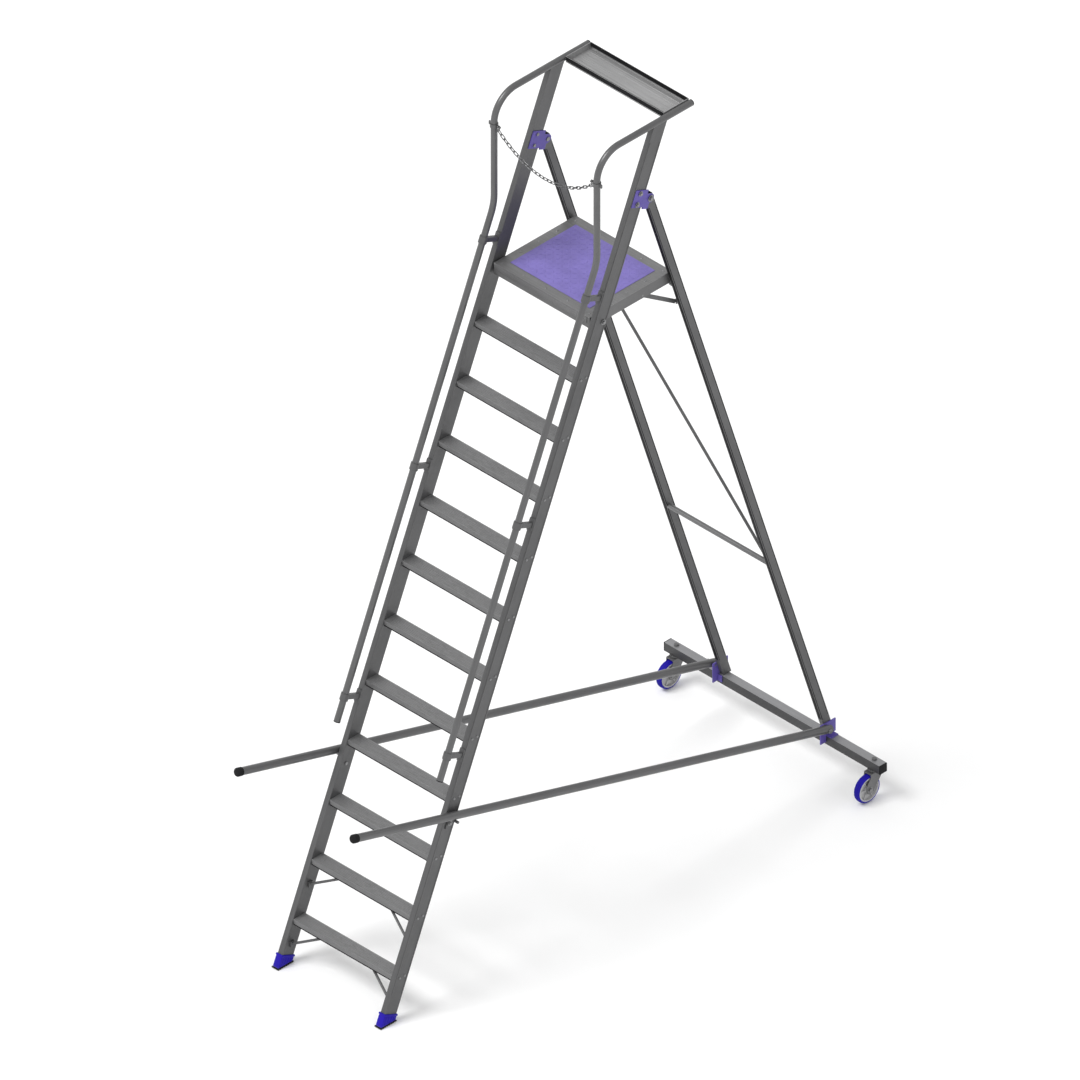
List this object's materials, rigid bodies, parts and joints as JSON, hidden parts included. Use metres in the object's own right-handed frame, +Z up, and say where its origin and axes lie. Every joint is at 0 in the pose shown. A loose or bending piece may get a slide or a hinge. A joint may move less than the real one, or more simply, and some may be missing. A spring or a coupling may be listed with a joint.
{
  "type": "rolling warehouse ladder",
  "caption": "Tall warehouse step ladder with platform, handrails, tool tray, folding rear frame on swivel castors and wheelbarrow lift handles.",
  "frame": {"origin": "middle of the footprint on the floor: centre of the bounding box in X and Y, floor at Z 0", "axes": "+X across the width to the climber's right, +Y from the climbing side to the rear castors, +Z up"},
  "size_m": [1.208, 2.7304, 3.621],
  "materials": {
    "aluminium_profile": "extruded, satin, fine lengthwise draw lines",
    "aluminium_tube": "drawn tube, satin",
    "aluminium_sheet": "rolled sheet, satin",
    "zinc_steel": "zinc plated",
    "fork_steel": "pressed, zinc plated",
    "blue_plastic": "moulded, lightly textured",
    "blue_bracket": "powder coated",
    "black_rubber": "ribbed",
    "black_plastic": "moulded",
    "grey_rim": "moulded",
    "blue_tyre": "smooth, scuffed tread",
    "blue_mat": "anti-slip, ribbed",
    "chain_steel": "plated links"
  },
  "bodies": {
    "ladder_frame": {"left_stile": "aluminium_profile", "right_stile": "aluminium_profile", "step_01": "aluminium_profile", "step_02": "aluminium_profile", "step_03": "aluminium_profile", "step_04": "aluminium_profile", "step_05": "aluminium_profile", "step_06": "aluminium_profile", "step_07": "aluminium_profile", "step_08": "aluminium_profile", "step_09": "aluminium_profile", "step_10": "aluminium_profile", "step_11": "aluminium_profile", "left_shoe": "blue_plastic", "right_shoe": "blue_plastic", "shoe_soles": "black_rubber", "step_bolts": "zinc_steel", "step_braces": "aluminium_tube", "stile_caps": "black_plastic", "left_handrail": "aluminium_tube", "right_handrail": "aluminium_tube", "rail_brackets": "aluminium_tube", "rail_end_caps": "black_plastic", "tool_tray": "aluminium_sheet", "chain_eyes": "zinc_steel", "hinge_brackets": "blue_bracket", "hinge_pins": "zinc_steel", "bracket_bolts": "zinc_steel", "handle_saddles": "zinc_steel", "platform_pivots": "zinc_steel"},
    "rear_frame": {"left_leg": "aluminium_profile", "right_leg": "aluminium_profile", "leg_bushes": "black_plastic", "mid_crossbar": "aluminium_tube", "diagonal_brace": "aluminium_tube", "base_bar": "aluminium_profile", "base_bar_caps": "black_plastic", "base_brackets": "blue_bracket", "handle_studs": "zinc_steel", "leg_studs": "zinc_steel", "castor_housings": "fork_steel"},
    "platform": {"platform_frame": "aluminium_sheet", "platform_deck": "aluminium_sheet", "platform_mat": "blue_mat", "stay_studs": "zinc_steel"},
    "left_stay": {"left_stay": "zinc_steel"},
    "right_stay": {"right_stay": "zinc_steel"},
    "left_handle": {"left_handle": "aluminium_tube", "left_handle_cap": "black_plastic"},
    "right_handle": {"right_handle": "aluminium_tube", "right_handle_cap": "black_plastic"},
    "left_castor": {"left_castor_fork": "fork_steel", "left_castor_axle": "zinc_steel"},
    "right_castor": {"right_castor_fork": "fork_steel", "right_castor_axle": "zinc_steel"},
    "left_wheel": {"left_castor_wheel": "grey_rim", "left_castor_tyre": "blue_tyre"},
    "right_wheel": {"right_castor_wheel": "grey_rim", "right_castor_tyre": "blue_tyre"},
    "chain": {"safety_chain": "chain_steel"}
  },
  "joints": [
    {"name": "rear_fold", "type": "hinge", "parent": "ladder_frame", "child": "rear_frame", "pos_m": [0, 0.32914, 3.27464], "axis": [-1, 0, 0], "range_deg": [0, 38]},
    {"name": "platform_fold", "type": "hinge", "parent": "ladder_frame", "child": "platform", "pos_m": [0, 0.06744, 2.804], "axis": [1, 0, 0], "range_deg": [0, 67.5]},
    {"name": "chain_swing", "type": "hinge", "parent": "ladder_frame", "child": "chain", "pos_m": [0, 0.04592, 3.476], "axis": [1, 0, 0], "range_deg": [-90, 90]},
    {"name": "left_stay_lift", "type": "hinge", "parent": "platform", "child": "left_stay", "pos_m": [-0.256, 0.32124, 2.788], "axis": [1, 0, 0], "range_deg": [0, 12]},
    {"name": "left_handle_fold", "type": "hinge", "parent": "rear_frame", "child": "left_handle", "pos_m": [-0.3235, 1.29716, 0.227], "axis": [-1, 0, 0], "range_deg": [0, 58]},
    {"name": "left_castor_swivel", "type": "hinge", "parent": "rear_frame", "child": "left_castor", "pos_m": [-0.553, 1.33116, 0.131], "axis": [0, 0, 1], "continuous": true},
    {"name": "left_wheel_spin", "type": "hinge", "parent": "left_castor", "child": "left_wheel", "pos_m": [-0.553, 1.28916, 0.0625], "axis": [1, 0, 0], "continuous": true},
    {"name": "right_stay_lift", "type": "hinge", "parent": "platform", "child": "right_stay", "pos_m": [0.256, 0.32124, 2.788], "axis": [1, 0, 0], "range_deg": [0, 12]},
    {"name": "right_handle_fold", "type": "hinge", "parent": "rear_frame", "child": "right_handle", "pos_m": [0.3235, 1.29716, 0.227], "axis": [-1, 0, 0], "range_deg": [0, 58]},
    {"name": "right_castor_swivel", "type": "hinge", "parent": "rear_frame", "child": "right_castor", "pos_m": [0.553, 1.33116, 0.131], "axis": [0, 0, 1], "continuous": true},
    {"name": "right_wheel_spin", "type": "hinge", "parent": "right_castor", "child": "right_wheel", "pos_m": [0.553, 1.28916, 0.0625], "axis": [1, 0, 0], "continuous": true}
  ],
  "couplings": [
    {"joint": "platform_fold", "follows": "rear_fold", "ratio": 1.7632},
    {"joint": "left_handle_fold", "follows": "rear_fold", "ratio": 1.5},
    {"joint": "right_handle_fold", "follows": "rear_fold", "ratio": 1.5}
  ]
}
